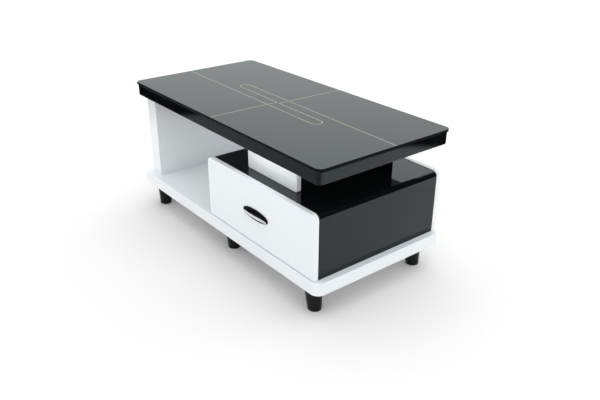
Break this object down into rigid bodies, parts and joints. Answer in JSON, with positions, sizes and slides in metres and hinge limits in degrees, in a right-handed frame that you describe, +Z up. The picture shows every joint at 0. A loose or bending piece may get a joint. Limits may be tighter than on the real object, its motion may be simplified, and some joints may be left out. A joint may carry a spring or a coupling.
{
  "type": "coffee table",
  "caption": "Coffee table with a rounded glass-covered black top on a thick white end panel and a short column, over an open shelf and a casing with a pull-out drawer.",
  "frame": {"origin": "on the floor, under the middle of the table's box, handle included", "axes": "+X along the length towards the drawer end, -Y towards the drawer front and the user, +Z up"},
  "size_m": [1.004, 0.51, 0.46],
  "materials": {
    "glass": "black back-painted tempered glass with a polished edge and a thin gold line pattern",
    "black_gloss": "high-gloss black lacquer on fibreboard",
    "white_gloss": "high-gloss white lacquer on fibreboard",
    "board": "raw fibreboard",
    "drawer_board": "white melamine on particle board",
    "black_plastic": "glossy moulded black plastic",
    "chrome": "polished chrome plate on zinc",
    "steel": "zinc-plated rolled steel",
    "clear_rubber": "clear soft silicone"
  },
  "bodies": {
    "root": {"glass_top": "glass", "glass_pad_front_left": "clear_rubber", "glass_pad_front_right": "clear_rubber", "glass_pad_rear_left": "clear_rubber", "glass_pad_rear_right": "clear_rubber", "top_panel_bottom_skin": "black_gloss", "top_panel_top_skin": "black_gloss", "top_panel_front_rail": "board", "top_panel_rear_rail": "board", "top_panel_left_rail": "board", "top_panel_right_rail": "board", "top_panel_batten_1": "board", "top_panel_batten_2": "board", "top_panel_edge_band": "black_gloss", "base_bottom_skin": "white_gloss", "base_top_skin": "white_gloss", "base_front_rail": "board", "base_rear_rail": "board", "base_left_rail": "board", "base_right_rail": "board", "base_batten_1": "board", "base_edge_band": "white_gloss", "foot_front_left": "black_plastic", "foot_front_middle": "black_plastic", "foot_front_right": "black_plastic", "foot_rear_left": "black_plastic", "foot_rear_middle": "black_plastic", "foot_rear_right": "black_plastic", "slab_outer_skin": "white_gloss", "slab_inner_skin": "white_gloss", "slab_front_stile": "white_gloss", "slab_rear_stile": "white_gloss", "slab_bottom_rail": "board", "slab_top_rail": "board", "casing_top": "black_gloss", "casing_left_side": "black_gloss", "casing_right_side": "black_gloss", "casing_rear_panel": "white_gloss", "column_front_panel": "white_gloss", "column_rear_panel": "black_gloss", "column_left_side": "black_gloss", "column_right_side": "black_gloss", "slide_left_outer": "steel", "slide_right_outer": "steel"},
    "slide_carriages": {"slide_left_middle": "steel", "slide_right_middle": "steel"},
    "drawer": {"drawer_front": "white_gloss", "drawer_left_side": "drawer_board", "drawer_right_side": "drawer_board", "drawer_inner_front": "drawer_board", "drawer_back": "drawer_board", "drawer_bottom": "drawer_board", "handle_plate": "black_plastic", "handle_bow": "chrome", "handle_screw_1": "steel", "handle_screw_2": "steel", "slide_left_inner": "steel", "slide_right_inner": "steel"}
  },
  "joints": [
    {"name": "drawer_slide", "type": "slide", "parent": "root", "child": "drawer", "axis": [0, -1, 0], "range_m": [0, 0.3]},
    {"name": "carriage_slide", "type": "slide", "parent": "root", "child": "slide_carriages", "axis": [0, -1, 0], "range_m": [0, 0.15]}
  ],
  "couplings": [
    {"joint": "carriage_slide", "follows": "drawer_slide", "ratio": 0.5}
  ]
}
